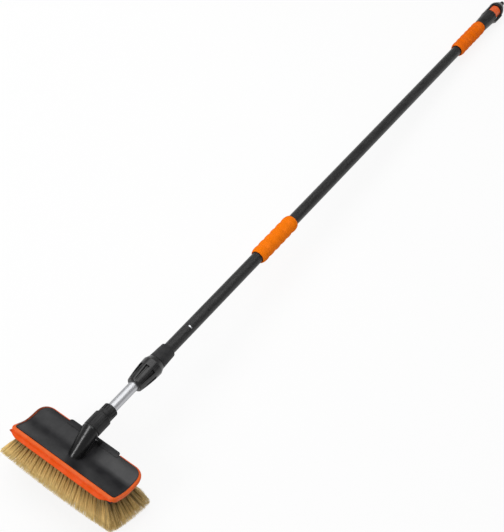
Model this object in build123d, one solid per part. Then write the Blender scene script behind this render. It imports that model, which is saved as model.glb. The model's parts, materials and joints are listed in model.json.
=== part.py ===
import os
from math import acos, atan2, cos, degrees, hypot, radians, sin, tan

from build123d import *

# Water-fed car wash brush on a two-piece telescopic pole, lying on the ground.
# It rests on the back edge of its bristle tips and on the flange of its water valve.
#
# Three frames are used, all in millimetres:
# head frame: x along the brush, y from its front edge to its back, z up out of the shell,
#   with its origin at the middle of the front edge, level with the shell's front lip;
# pole frame: y along the pole from the face of the neck outwards, z up;
# row frame: x along the brush, y away from the brush along the ground, z up from the ground.

# Driving sizes of the pole
outer_tube_diameter = 25.0
outer_tube_wall = 1.2
inner_tube_diameter = 20.0
inner_tube_wall = 1.0
inner_tube_length = 1428.0
bare_inner_length = 65.0
run_to_middle_grip = 299.0
run_between_grips = 756.0
grip_length = 128.0

# Driving sizes of the head
head_length = 238.0
head_depth = 98.0
front_corner_radius = 11.5
back_corner_radius = 25.0
rim_width = 7.0
bristle_reach = 58.0
neck_angle = 26.7
neck_setback = 66.3
neck_height = 40.6

# Clearances and one overrun for all cuts
running_clearance = 0.06
seat_clearance = 0.05
loose_clearance = 0.4
soft_clearance = 0.3
overrun = 5.0
floor_cut = 0.5

# Section of the shell's top, from the front edge to the back
dish_drop = 5.7
dish_mid_drop = 3.9
crest_rise = 4.0
back_rise = 10.4
dish_mid_share = 0.25
dish_share = 0.49
crest_share = 0.77

# Shell
shell_wall = 2.6
skirt_drop = 17.0
tab_length = 116.0
tab_rise = 1.2
tab_corner = 6.0
boss_lip_radius = 17.0
boss_lip_length = 3.0
boss_foot_length = 36.0
boss_foot_width = 27.0
boss_foot_setback = 43.5
boss_foot_drop = 3.5
web_width = 25.0
web_back_setback = 94.0
spigot_radius = 14.2
spigot_length = 32.0
socket_depth = 24.0
water_bore_radius = 8.0
down_bore_radius = 6.0
down_bore_setback = 55.0
chamber_length = 172.0
chamber_depth = 34.0
chamber_wall = 2.4
post_radius = 4.0
pilot_radius = 1.8

# Soft rim and wiper lip
rim_height = 8.5
rim_rise = 0.8
lip_reach = 9.5
lip_drop = 10.5
lip_root_top = 3.2
lip_root_bottom = 8.5
lip_edge = 1.2
lip_end_rise = 4.5
lip_end_reach = 6.0
lip_end_length = 19.0
lip_end_gap = 4.0

# Bristle block, gasket and screws
block_top_drop = 12.0
block_thickness = 8.0
gasket_thickness = 1.5
jet_radius = 1.5
jet_column_step = 4
jets_each_side = 2
screw_head_radius = 3.0
screw_head_height = 2.2
screw_shank_radius = 1.75
screw_length = 15.0
screw_outer_column = 11

# Bristles
slice_thickness = 2.4
slice_margin = 1.5
tuft_columns = 26
tuft_rows = 7
strands_in_tuft = 2
column_pitch = 8.0
row_pitch = 12.0
root_width = 1.7
root_depth = 3.6
root_sink = 1.2
strand_gap = 0.4
tip_width = 3.4
tip_depth = 13.0
end_fan = 30.0
side_fan = 32.0
fan_power = 2.0
corner_tuck_share = 0.3
lean_along = 9.0
lean_back = 12.0

# Neck coupling
neck_gap = 0.4
coupling_length = 56.0
coupling_body_length = 35.0
coupling_body_radius = 17.5
coupling_top_radius = 14.8
coupling_edge_round = 2.5
coupling_thread_radius = 14.5
coupling_slots = 16
coupling_slot_width = 2.2
coupling_slot_depth = 1.0
coupling_slot_length = 14.0
coupling_flutes = 22
coupling_flute_radius = 1.2
coupling_flute_depth = 0.5
neck_collet_length = 17.0
neck_collet_radius = 12.3
neck_collet_taper = 0.9
neck_collet_slots = 4
collet_slot_width = 1.6
collet_slot_share = 0.7
neck_ring_minor = 1.0
neck_ring_station = 13.0

# Telescope clamp
clamp_nut_length = 65.0
clamp_mouth_radius = 16.5
clamp_mouth_round = 3.0
clamp_middle_radius = 20.2
clamp_middle_share = 0.45
clamp_belly_radius = 21.7
clamp_belly_share = 0.85
clamp_shoulder_radius = 18.2
clamp_thread_radius = 15.2
clamp_pockets = 8
pocket_start = 4.0
pocket_length = 36.0
pocket_floor_radius = 15.2
pocket_floor_rise = 1.6
pocket_mouth_width = 4.0
pocket_top_width = 8.4
pocket_rib_width = 1.4
pocket_rib_height = 1.6
clamp_gap = 1.0
sleeve_length = 36.0
sleeve_start_radius = 17.9
sleeve_end_radius = 16.0
sleeve_edge_round = 1.0
sleeve_nose_radius = 15.0
sleeve_nose_length = 35.0
sleeve_seat_inset = 3.0
clamp_collet_seat_radius = 12.8
clamp_collet_seat_length = 24.0
clamp_collet_cone_length = 12.0
clamp_collet_cone_radius = 13.4
clamp_collet_taper = 1.6
clamp_collet_slots = 6

# Stop rivet
rivet_distance = 63.0
rivet_turn = 21.0
rivet_pin_radius = 1.4
rivet_head_length = 8.5
rivet_head_width = 3.2
rivet_head_height = 0.9

# Guide bush on the far end of the inner tube
bush_overlap = 30.0
bush_nose = 14.0
bush_bore_radius = 8.2
piston_ring_minor = 0.9
piston_ring_spacing = 6.0

# Foam grips
grip_crest_radius = 18.0
grip_valley_radius = 16.6
grip_waves = 5
grip_end_round = 2.0
grip_recess_radius = 14.2
grip_recess_depth = 3.0

# Water valve
valve_body_length = 60.0
valve_start_radius = 16.2
valve_end_radius = 19.0
valve_edge_round = 1.5
valve_socket_depth = 30.0
valve_channel_radius = 5.0
valve_flutes = 12
valve_flute_radius = 2.6
valve_flute_depth = 1.1
valve_flute_start_share = 0.28
wing_turn = 105.0
wing_width = 9.0
wing_root_length = 16.0
wing_reach = 31.0
wing_inner_radius = 16.0
wing_outer_radius = 22.6
wing_edge_round = 4.0
guard_radius = 19.0
guard_width = 20.0
valve_core_radius = 10.6
valve_core_tail = 8.0
valve_chamber_radius = 7.0
seat_thickness = 3.0
port_radius = 2.2
port_offset = 4.0
ports = 2
spool_length = 26.0
spool_bore_radius = 4.4
spool_plate = 3.0
spool_ring_minor = 0.7
spool_front_ring = 4.6
spool_back_ring = 20.0
drive_pin_radius = 1.2
drive_pin_inset = 1.8
drive_pin_distance = 22.0
valve_turn = 90.0
drive_slot_spare_angle = 15.0
valve_ring_length = 30.5
valve_ring_gap = 0.4
valve_ring_radius = 15.0
valve_ring_grooves = 20
valve_ring_groove_radius = 0.9
valve_ring_edge_round = 1.2
flange_length = 8.0
flange_radius = 19.5
flange_edge_round = 1.5
flange_cone_length = 17.0
flange_cone_radius = 12.3
flange_notches = 10
flange_notch_radius = 2.4
flange_notch_depth = 0.8

# Hose nipple
nipple_seat_radius = 5.6
nipple_neck_radius = 4.7
nipple_neck_length = 6.0
nipple_land_radius = 6.1
nipple_land_length = 7.0
nipple_tip_length = 6.5
nipple_tip_radius = 5.4
nipple_tip_round = 2.0
nipple_bore_radius = 3.2
nipple_ring_minor = 0.9

# Radii and stations that follow from the sizes above
outer_radius = outer_tube_diameter / 2
outer_bore = outer_radius - outer_tube_wall
outer_socket = outer_radius + seat_clearance
inner_radius = inner_tube_diameter / 2
inner_bore = inner_radius - inner_tube_wall
inner_socket = inner_radius + running_clearance
inner_passage = inner_radius + loose_clearance
spigot_end = spigot_length
neck_ring_major = inner_radius + neck_ring_minor + seat_clearance
inner_start = spigot_end - socket_depth
inner_end = inner_start + inner_tube_length
coupling_start = neck_gap
coupling_end = coupling_start + coupling_length
clamp_start = coupling_end + bare_inner_length
clamp_end = clamp_start + clamp_nut_length
sleeve_start = clamp_end + clamp_gap
sleeve_end = sleeve_start + sleeve_length
nose_start = sleeve_start - sleeve_nose_length
outer_start = sleeve_start + sleeve_seat_inset
rivet_station = sleeve_end + rivet_distance
middle_grip_start = sleeve_end + run_to_middle_grip
upper_grip_start = middle_grip_start + grip_length + run_between_grips
valve_start = upper_grip_start + grip_length + soft_clearance
outer_end = valve_start + valve_socket_depth
valve_rim = valve_start + valve_body_length
ring_start = valve_rim + valve_ring_gap
ring_end = ring_start + valve_ring_length
flange_start = ring_end + valve_ring_gap
flange_end = flange_start + flange_length
cone_end = flange_end + flange_cone_length
core_end = flange_start + valve_core_tail
core_socket = valve_core_radius + running_clearance
spool_start = core_end - spool_length
seat_start = spool_start - seat_thickness
spool_radius = valve_chamber_radius - running_clearance
drive_pin_station = ring_start + drive_pin_distance
land_start = cone_end + nipple_neck_length
land_end = land_start + nipple_land_length
nipple_ring_major = nipple_land_radius - nipple_ring_minor
nipple_end = land_end + nipple_tip_length

# Levels and lines of the head
block_top = -block_top_drop
block_bottom = block_top - block_thickness
gasket_top = block_top + gasket_thickness
slice_bottom = block_bottom - slice_thickness
skirt_bottom = -skirt_drop
tip_level = -bristle_reach
field_middle = head_depth / 2
half_field_length = (tuft_columns - 1) / 2 * column_pitch
half_field_depth = (tuft_rows - 1) / 2 * row_pitch
screw_reach = screw_outer_column * column_pitch
screw_row_reach = (tuft_rows / 2 - 1) * row_pitch


def turned(points, rounds=()):
    """Body of revolution about the pole's line from (station, radius) corners.

    rounds holds (corner number, radius) pairs.
    """
    corners = [Vector(radius, station, 0) for station, radius in points]
    face = make_face(Polyline(*corners, close=True))
    for number, radius in rounds:
        face = fillet(face.vertices().sort_by_distance(corners[number])[0], radius)
    return revolve(face, Axis.Y)


def turned_between(outer_edges, start, end, bore_points):
    """Body of revolution with a curved outside from start to end, closed along its bore."""
    inside = Polyline(end, *[Vector(radius, station, 0) for station, radius in bore_points], start)
    return revolve(make_face([*outer_edges, inside]), Axis.Y)


def rod(start, end, radius):
    """Plain round rod along the pole's line."""
    return turned([(start, 0), (end, 0), (end, radius), (start, radius)])


def tube(start, end, outer, inner):
    """Plain round tube along the pole's line."""
    return turned([(start, inner), (end, inner), (end, outer), (start, outer)])


def seal_ring(station, major, minor):
    """Round rubber ring about the pole's line."""
    return revolve(Pos(major, station) * Circle(minor), Axis.Y)


def ring_groove(station, major, minor):
    """Square groove that holds a round rubber ring."""
    half = minor + seat_clearance
    return tube(station - half, station + half, major + half, major - half)


def around(count, shape):
    """Copies of a shape, evenly spaced about the pole's line."""
    return [Rot(0, 360 * number / count, 0) * shape for number in range(count)]


def at_places(shape, places):
    """Copies of a shape of the head, one at each (x, y) place."""
    return [Pos(x, y, 0) * shape for x, y in places]


def groove_rod(start, end, line_radius, radius):
    """Rod beside the pole's line and parallel to it, which cuts a flute."""
    middle = (start + end) / 2
    return Pos(0, middle, line_radius) * Rot(90, 0, 0) * Cylinder(radius, end - start)


def outline(inset):
    """Plan of the head, drawn in from its outer edge by a distance."""
    plan = Pos(0, field_middle) * Rectangle(head_length, head_depth)
    plan = fillet(plan.vertices().group_by(Axis.Y)[-1], back_corner_radius)
    plan = fillet(plan.vertices().group_by(Axis.Y)[0], front_corner_radius)
    if inset > 0:
        plan = offset(plan, amount=-inset)
    return plan


def block_of(plan, low, high):
    """Upright prism on a plan between two levels."""
    return extrude(Pos(0, 0, low) * plan, high - low)


def under_top(rise, low):
    """All that lies below the shell's curved top, raised by a distance, down to a level."""
    stations = [
        (-overrun, rise),
        (0, rise),
        (head_depth * dish_mid_share, rise - dish_mid_drop),
        (head_depth * dish_share, rise - dish_drop),
        (head_depth * crest_share, rise + crest_rise),
        (head_depth, rise + back_rise),
        (head_depth + overrun, rise + back_rise),
    ]
    crest = Spline(*[(0, y, z) for y, z in stations])
    first = crest @ 0
    last = crest @ 1
    sides = Polyline(last, (0, last.Y, low), (0, first.Y, low), first)
    face = make_face([crest, sides])
    return extrude(face, head_length / 2 + overrun, dir=(1, 0, 0), both=True)


def to_head(shape):
    """Move a shape from the pole frame to the head frame."""
    return Pos(0, neck_setback, neck_height) * Rot(neck_angle, 0, 0) * shape


def to_pole(shape):
    """Move a shape from the head frame to the pole frame."""
    return Rot(-neck_angle, 0, 0) * Pos(0, -neck_setback, -neck_height) * shape


def column_x(column):
    """Place along the brush of a column of tufts."""
    return (column - (tuft_columns - 1) / 2) * column_pitch


def row_y(row):
    """Place across the brush of a row of tufts."""
    return field_middle + (row - (tuft_rows - 1) / 2) * row_pitch


def screw_places():
    """Screws stand in the gaps between tufts, outside the water chamber."""
    return [
        (x, field_middle + side * screw_row_reach)
        for side in (-1, 1)
        for x in (-screw_reach, 0, screw_reach)
    ]


def jet_places():
    """Water jets stand in the gaps between tufts, below the chamber."""
    step = jet_column_step * column_pitch
    return [
        (number * step, field_middle + side * row_pitch / 2)
        for side in (-1, 1)
        for number in range(-jets_each_side, jets_each_side + 1)
    ]


def head_shell():
    """Moulded shell with its neck boss, skirt, water chamber wall and screw posts."""
    body = block_of(outline(rim_width), skirt_bottom, back_rise + overrun)
    body &= under_top(0, skirt_bottom)
    tab_depth = rim_width + tab_corner
    tab_plan = Pos(0, head_depth - tab_depth / 2) * Rectangle(tab_length, tab_depth)
    tab_plan = fillet(tab_plan.vertices().group_by(Axis.Y)[-1], tab_corner)
    tab = block_of(tab_plan, skirt_bottom, back_rise + tab_rise + overrun)
    tab &= under_top(tab_rise, skirt_bottom)
    body += tab
    lip = to_head(Pos(0, -boss_lip_length, 0) * Rot(-90, 0, 0) * Circle(boss_lip_radius))
    foot = Pos(0, boss_foot_setback, -dish_drop - boss_foot_drop) * Ellipse(
        boss_foot_width / 2, boss_foot_length / 2
    )
    body += loft([foot.face(), lip.face()])
    body += neck_web()
    cavity = block_of(outline(rim_width + shell_wall), skirt_bottom, back_rise)
    cavity &= under_top(-shell_wall, skirt_bottom)
    wall_plan = Rectangle(chamber_length, chamber_depth)
    wall_plan -= Rectangle(chamber_length - 2 * chamber_wall, chamber_depth - 2 * chamber_wall)
    cavity -= block_of(Pos(0, field_middle) * wall_plan, gasket_top, back_rise)
    cavity -= at_places(block_of(Circle(post_radius), block_top, back_rise), screw_places())
    body -= cavity
    pilot = block_of(Circle(pilot_radius), block_top, block_bottom + screw_length)
    body -= at_places(pilot, screw_places())
    neck = tube(-boss_lip_length, 0, boss_lip_radius, inner_bore)
    neck += tube(0, spigot_end, spigot_radius, inner_bore)
    body += to_head(neck)
    lean = radians(neck_angle)
    bend = neck_setback - down_bore_setback
    body -= to_head(rod(-bend / cos(lean), inner_start, water_bore_radius))
    body -= to_head(rod(inner_start, spigot_end + overrun, inner_socket))
    body -= to_head(ring_groove(neck_ring_station, neck_ring_major, neck_ring_minor))
    down = Pos(0, down_bore_setback) * Circle(down_bore_radius)
    body -= block_of(down, gasket_top, neck_height - bend * tan(lean))
    return body


def neck_web():
    """Web that carries the neck down to the back edge of the shell's top."""
    lean = radians(neck_angle)
    middle = neck_setback - boss_lip_length * cos(lean)
    level = neck_height - boss_lip_length * sin(lean)
    side = Polyline(
        (0, middle, level),
        (0, middle + boss_lip_radius * sin(lean), level - boss_lip_radius * cos(lean)),
        (0, web_back_setback, back_rise - shell_wall / 2),
        (0, web_back_setback, -dish_drop),
        (0, boss_foot_setback, -dish_drop),
        close=True,
    )
    return extrude(make_face(side), web_width / 2, dir=(1, 0, 0), both=True)


def soft_rim():
    """Soft bead round the shell's edge, open at the back where the tab stands."""
    ring = outline(0) - outline(rim_width)
    band = block_of(ring, skirt_bottom, back_rise + overrun)
    band &= under_top(rim_rise, skirt_bottom)
    band -= under_top(rim_rise - rim_height, skirt_bottom - overrun)
    gap = Box(tab_length + 2 * soft_clearance, head_depth, 2 * head_depth)
    return band - Pos(0, head_depth, 0) * gap


def wiper_lip():
    """Soft blade that stands forward and down from the front bead, drawn up at its ends."""
    half = head_length / 2 - lip_end_gap
    section = Polyline(
        (0, 0, -lip_root_top),
        (0, -lip_reach, lip_edge - lip_drop),
        (0, -lip_reach, -lip_drop),
        (0, 0, -lip_root_bottom),
        close=True,
    )
    blade = extrude(make_face(section), half, dir=(1, 0, 0), both=True)
    for side in (-1, 1):
        inner = side * (half - lip_end_length)
        outer = side * half
        under = make_face(
            Polyline(
                (inner, overrun, -lip_drop),
                (outer, overrun, lip_end_rise - lip_drop),
                (outer, overrun, -lip_drop),
                close=True,
            )
        )
        front = make_face(
            Polyline(
                (inner, -lip_reach, -lip_drop),
                (outer, -lip_end_reach, -lip_drop),
                (outer, -lip_reach, -lip_drop),
                close=True,
            )
        )
        blade -= extrude(under, lip_reach + 2 * overrun, dir=(0, -1, 0))
        blade -= extrude(front, lip_drop, dir=(0, 0, 1))
    return blade


def bristle_block():
    """Block that carries the bristles, with its screw holes and water jets."""
    inset = rim_width + shell_wall + loose_clearance
    block = block_of(outline(inset), block_bottom, block_top)
    shank = screw_shank_radius + loose_clearance
    block -= at_places(block_of(Circle(shank), block_bottom, block_top), screw_places())
    head = Circle(screw_head_radius + loose_clearance)
    sink = block_of(head, block_bottom, block_bottom + screw_head_height)
    block -= at_places(sink, screw_places())
    return block - at_places(block_of(Circle(jet_radius), block_bottom, block_top), jet_places())


def block_gasket():
    """Rubber frame that seals the water chamber's wall on the block."""
    plan = Rectangle(chamber_length, chamber_depth)
    plan -= Rectangle(chamber_length - 2 * chamber_wall, chamber_depth - 2 * chamber_wall)
    return block_of(Pos(0, field_middle) * plan, block_top, gasket_top)


def block_screws():
    """Screws that hold the block to the shell's posts."""
    head = block_of(Circle(screw_head_radius), block_bottom, block_bottom + screw_head_height)
    cross = Rectangle(screw_head_radius, screw_shank_radius / 2)
    cross += Rectangle(screw_shank_radius / 2, screw_head_radius)
    head -= block_of(cross, block_bottom, block_bottom + screw_head_height / 2)
    shank_top = block_bottom + screw_length - loose_clearance
    shank = block_of(Circle(screw_shank_radius), block_bottom + screw_head_height, shank_top)
    return at_places(head + shank, screw_places())


def fanned(x, y):
    """Tip of a strand above the place of its root.

    The tips fan out towards the brush's edges, and the whole field leans to one side and back.
    """
    along = x / half_field_length
    across = (y - field_middle) / half_field_depth
    tuck = 1 - corner_tuck_share * abs(along * across) ** fan_power
    tip_x = x + end_fan * along * abs(along) ** (fan_power - 1) * tuck + lean_along
    tip_y = y + side_fan * across * tuck + lean_back
    return tip_x, tip_y


def strand(x, y, side):
    """One four-sided strand, a part of the tuft at a place."""
    root = Rectangle(root_width, root_depth)
    tip = Rectangle(tip_width, tip_depth)
    tip_x, tip_y = fanned(x, y)
    root_x = x + side * (root_width + strand_gap) / 2
    tip_x += side * (tip_width + strand_gap) / 2
    root = Pos(root_x, y, slice_bottom + root_sink) * root
    tip = Pos(tip_x, tip_y, tip_level) * tip
    return loft([root.face(), tip.face()], ruled=True)


def bristles():
    """All strands, fused to the slice of backing that they are set in."""
    inset = rim_width + shell_wall + slice_margin
    backing = block_of(outline(inset), slice_bottom, block_bottom)
    hole = block_of(Circle(screw_head_radius + loose_clearance), slice_bottom, block_bottom)
    backing -= at_places(hole, screw_places())
    backing -= at_places(block_of(Circle(jet_radius), slice_bottom, block_bottom), jet_places())
    strands = [
        strand(column_x(column), row_y(row), side)
        for column in range(tuft_columns)
        for row in range(tuft_rows)
        for side in range(1 - strands_in_tuft, strands_in_tuft, 2)
    ]
    return backing.fuse(*strands)


def neck_ring():
    """Rubber ring that seals the inner tube in the neck."""
    return seal_ring(neck_ring_station, neck_ring_major, neck_ring_minor)


def split_from_front(body, front, depth, slots):
    """Cut slots into the front end of a collet."""
    reach = clamp_collet_cone_radius + overrun
    low = (Align.CENTER, Align.CENTER, Align.MIN)
    cut = Pos(0, front, 0) * Box(collet_slot_width, 2 * depth, reach, align=low)
    return body - around(slots, cut)


def neck_collet():
    """Split collet that grips the inner tube under the coupling nut."""
    end = spigot_end + neck_collet_length
    body = turned(
        [
            (spigot_end, inner_socket),
            (end, inner_socket),
            (end, neck_collet_radius - neck_collet_taper),
            (spigot_end, neck_collet_radius),
        ]
    )
    slot = collet_slot_share * neck_collet_length
    return split_from_front(body, end, slot, neck_collet_slots)


def coupling_nut():
    """Nut at the neck, with a wide fluted body and a narrower slotted top."""
    shoulder = coupling_start + coupling_body_length
    collet_end = spigot_end + neck_collet_length + loose_clearance
    cone_radius = neck_collet_radius + running_clearance
    body = turned(
        [
            (coupling_start, coupling_thread_radius),
            (spigot_end, coupling_thread_radius),
            (spigot_end, cone_radius),
            (collet_end, cone_radius - neck_collet_taper),
            (collet_end, inner_passage),
            (coupling_end, inner_passage),
            (coupling_end, coupling_top_radius),
            (shoulder, coupling_top_radius),
            (shoulder - coupling_edge_round, coupling_body_radius),
            (coupling_start, coupling_body_radius),
        ],
        rounds=[(9, coupling_edge_round), (6, coupling_edge_round / 2)],
    )
    slot_depth_line = coupling_top_radius - coupling_slot_depth
    low = (Align.CENTER, Align.MAX, Align.MIN)
    slot = Box(coupling_slot_width, coupling_slot_length, overrun, align=low)
    body -= around(coupling_slots, Pos(0, coupling_end, slot_depth_line) * slot)
    flute = groove_rod(
        coupling_start + coupling_edge_round,
        shoulder - 2 * coupling_edge_round,
        coupling_body_radius + coupling_flute_radius - coupling_flute_depth,
        coupling_flute_radius,
    )
    return body - around(coupling_flutes, flute)


def inner_tube():
    """Bright aluminium tube between the head and the handle tube."""
    return tube(inner_start, inner_end, inner_radius, inner_bore)


def guide_bush():
    """Bush on the far end of the inner tube, with two grooves for its piston rings."""
    radius = outer_bore - running_clearance
    body = turned(
        [
            (inner_end - bush_overlap, inner_socket),
            (inner_end, inner_socket),
            (inner_end, bush_bore_radius),
            (inner_end + bush_nose, bush_bore_radius),
            (inner_end + bush_nose, radius),
            (inner_end - bush_overlap, radius),
        ]
    )
    return body - [ring_groove(*ring) for ring in piston_ring_places()]


def piston_ring_places():
    """Station, major and minor radius of the rings on the guide bush."""
    major = outer_bore - piston_ring_minor - seat_clearance
    middle = inner_end + bush_nose / 2
    return [
        (middle + side * piston_ring_spacing / 2, major, piston_ring_minor) for side in (-1, 1)
    ]


def piston_rings():
    """Two rubber rings that slide in the outer tube."""
    return [seal_ring(*ring) for ring in piston_ring_places()]


def clamp_nut():
    """Twist nut of the telescope, shaped like a bullet, with finger pockets round it."""
    belly = clamp_start + clamp_belly_share * clamp_nut_length
    middle = clamp_start + clamp_middle_share * clamp_nut_length
    cone_front = nose_start - clamp_collet_cone_length - loose_clearance
    cone_radius = clamp_collet_cone_radius + running_clearance
    mouth_corner = clamp_start + clamp_mouth_round
    face_radius = clamp_mouth_radius - clamp_mouth_round
    start = Vector(face_radius, clamp_start, 0)
    end = Vector(clamp_shoulder_radius, clamp_end, 0)
    mouth_edge = Vector(clamp_mouth_radius, mouth_corner, 0)
    belly_edge = Vector(clamp_belly_radius, belly, 0)
    outside = [
        RadiusArc(start, mouth_edge, -clamp_mouth_round),
        ThreePointArc(mouth_edge, Vector(clamp_middle_radius, middle, 0), belly_edge),
        Line(belly_edge, end),
    ]
    bore = [
        (clamp_end, clamp_thread_radius),
        (nose_start - loose_clearance, clamp_thread_radius),
        (nose_start - loose_clearance, cone_radius),
        (cone_front, cone_radius - clamp_collet_taper),
        (cone_front, inner_passage),
        (clamp_start, inner_passage),
    ]
    body = turned_between(outside, start, end, bore)
    return body - around(clamp_pockets, pocket_cutter())


def pocket_cutter():
    """One finger pocket of the clamp nut, wider and deeper away from the mouth."""
    front = clamp_start + pocket_start
    back = front + pocket_length
    floor_back = pocket_floor_radius + pocket_floor_rise
    reach = clamp_belly_radius + overrun
    hollow = turned(
        [(front, pocket_floor_radius), (back, floor_back), (back, reach), (front, reach)]
    )
    rib = turned(
        [
            (front, 0),
            (back, 0),
            (back, floor_back + pocket_rib_height),
            (front, pocket_floor_radius + pocket_rib_height),
        ]
    )
    plan = make_face(
        Polyline(
            (-pocket_mouth_width / 2, front),
            (pocket_mouth_width / 2, front),
            (pocket_top_width / 2, back),
            (-pocket_top_width / 2, back),
            close=True,
        )
    )
    rib_plan = Pos(0, (front + back) / 2) * Rectangle(pocket_rib_width, pocket_length)
    hollow &= extrude(plan, reach)
    return hollow - (rib & extrude(rib_plan, reach))


def clamp_collet():
    """Split collet between the clamp nut and the sleeve's nose."""
    front = nose_start - clamp_collet_cone_length
    back = nose_start + clamp_collet_seat_length
    seat_radius = clamp_collet_seat_radius - running_clearance
    body = turned(
        [
            (front, inner_socket),
            (back, inner_socket),
            (back, seat_radius),
            (nose_start, seat_radius),
            (nose_start, clamp_collet_cone_radius),
            (front, clamp_collet_cone_radius - clamp_collet_taper),
        ]
    )
    slot = collet_slot_share * (back - front)
    return split_from_front(body, front, slot, clamp_collet_slots)


def clamp_sleeve():
    """Tapered sleeve fixed on the outer tube, with a nose under the clamp nut."""
    seat_end = nose_start + clamp_collet_seat_length
    return turned(
        [
            (nose_start, clamp_collet_seat_radius),
            (seat_end, clamp_collet_seat_radius),
            (seat_end, inner_passage),
            (outer_start, inner_passage),
            (outer_start, outer_socket),
            (sleeve_end, outer_socket),
            (sleeve_end, sleeve_end_radius),
            (sleeve_start, sleeve_start_radius),
            (sleeve_start, sleeve_nose_radius),
            (nose_start, sleeve_nose_radius),
        ],
        rounds=[(6, sleeve_edge_round), (7, sleeve_edge_round)],
    )


def outer_tube():
    """Painted handle tube, with a hole for the stop rivet."""
    body = tube(outer_start, outer_end, outer_radius, outer_bore)
    return body - at_rivet(rivet_pin_radius + seat_clearance, outer_bore / 2, 2 * outer_radius)


def at_rivet(radius, low, high):
    """Radial rod at the place of the stop rivet."""
    shape = Pos(0, 0, low) * extrude(Circle(radius), high - low)
    return Rot(0, rivet_turn, 0) * Pos(0, rivet_station, 0) * shape


def stop_rivet():
    """Rivet through the outer tube that stops the guide bush at full reach."""
    pin = at_rivet(rivet_pin_radius, inner_passage, outer_radius + rivet_head_height / 2)
    head = extrude(SlotOverall(rivet_head_length, rivet_head_width), 2 * outer_radius)
    head = Rot(0, rivet_turn, 0) * Pos(0, rivet_station, 0) * head
    half = rivet_head_width
    skin = tube(
        rivet_station - half,
        rivet_station + half,
        outer_radius + rivet_head_height,
        outer_radius,
    )
    return pin + (head & skin)


def foam_grip(start):
    """Foam tube with soft waves, rounded ends and a recess round the handle tube."""
    end = start + grip_length
    first = start + grip_end_round
    wave = (grip_length - 2 * grip_end_round) / grip_waves
    valleys = [Vector(grip_valley_radius, first + wave * number, 0) for number in range(grip_waves + 1)]
    waves = [
        ThreePointArc(low, Vector(grip_crest_radius, (low.Y + high.Y) / 2, 0), high)
        for low, high in zip(valleys, valleys[1:])
    ]
    face_radius = grip_valley_radius - grip_end_round
    front = Vector(face_radius, start, 0)
    back = Vector(face_radius, end, 0)
    outside = [
        RadiusArc(front, valleys[0], -grip_end_round),
        *waves,
        RadiusArc(valleys[-1], back, -grip_end_round),
    ]
    bore = [
        (end, outer_socket),
        (start + grip_recess_depth, outer_socket),
        (start + grip_recess_depth, grip_recess_radius),
        (start, grip_recess_radius),
    ]
    return turned_between(outside, front, back, bore)


def middle_grip():
    """Foam grip for the leading hand."""
    return foam_grip(middle_grip_start)


def upper_grip():
    """Foam grip below the valve."""
    return foam_grip(upper_grip_start)


def valve_body():
    """Flared valve body, pushed over the end of the outer tube, with the core of the valve."""
    body = turned(
        [
            (valve_start, outer_socket),
            (outer_end, outer_socket),
            (outer_end, valve_channel_radius),
            (seat_start, valve_channel_radius),
            (seat_start, valve_chamber_radius),
            (core_end, valve_chamber_radius),
            (core_end, valve_core_radius),
            (valve_rim, valve_core_radius),
            (valve_rim, valve_end_radius),
            (valve_start, valve_start_radius),
        ],
        rounds=[(8, valve_edge_round), (9, valve_edge_round)],
    )
    flute = groove_rod(
        valve_start + valve_flute_start_share * valve_body_length,
        valve_rim + overrun,
        valve_end_radius + valve_flute_radius - valve_flute_depth,
        valve_flute_radius,
    )
    body -= around(valve_flutes, flute)
    return body + valve_wing() + valve_guard() - drive_slot()


def valve_wing():
    """Guard beside the valve ring, which stands out from the rim of the valve body."""
    plan = make_face(
        Polyline(
            (wing_inner_radius, valve_rim - wing_root_length),
            (wing_outer_radius, valve_rim),
            (wing_outer_radius, valve_rim + wing_reach),
            (wing_inner_radius, valve_rim + wing_reach),
            close=True,
        )
    )
    plan = fillet(plan.vertices().group_by(Axis.X)[-1], wing_edge_round)
    return Rot(0, wing_turn - 90, 0) * extrude(plan, wing_width / 2, both=True)


def valve_guard():
    """Curved guard on the other side of the valve ring."""
    start = valve_rim - wing_root_length
    end = valve_rim + wing_reach
    band = tube(start, end, guard_radius, wing_inner_radius)
    side = Pos(guard_radius, (start + end) / 2, 0) * Box(guard_radius, end - start, guard_width)
    return band & (Rot(0, wing_turn + 90, 0) * side)


def drive_slot():
    """Slot round a part of the core, in which the drive pin travels from its first end."""
    half = drive_pin_radius + running_clearance
    band = tube(
        drive_pin_station - half,
        drive_pin_station + half,
        valve_core_radius + overrun,
        valve_chamber_radius / 2,
    )
    reach = valve_core_radius + 2 * overrun
    side = reach * tan(radians(valve_turn / 2 + drive_slot_spare_angle))
    sector = make_face(Polyline((0, 0), (side, reach), (-side, reach), close=True))
    wedge = Pos(0, drive_pin_station, 0) * Rot(90, 0, 0) * extrude(sector, reach, both=True)
    return Rot(0, valve_turn / 2, 0) * (band & wedge)


def valve_seat():
    """Fixed disc with the ports of the valve."""
    disc = rod(seat_start, spool_start, spool_radius)
    return disc - port_holes(seat_start, spool_start)


def port_holes(start, end):
    """Ports on both sides of the pole's line."""
    return around(ports, groove_rod(start, end, port_offset, port_radius))


def valve_spool():
    """Turning spool with the same ports, driven by the pin."""
    body = rod(spool_start, core_end, spool_radius)
    body -= rod(spool_start + spool_plate, core_end, spool_bore_radius)
    body -= port_holes(spool_start, spool_start + spool_plate)
    body -= [ring_groove(*ring) for ring in spool_ring_places()]
    return body - drive_pin_rod(drive_pin_radius + seat_clearance, 0)


def spool_ring_places():
    """Station, major and minor radius of the rings on the spool."""
    major = valve_chamber_radius - spool_ring_minor - seat_clearance
    return [
        (spool_start + inset, major, spool_ring_minor)
        for inset in (spool_front_ring, spool_back_ring)
    ]


def spool_rings():
    """Two rubber rings that seal the spool in the core."""
    return [seal_ring(*ring) for ring in spool_ring_places()]


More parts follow.
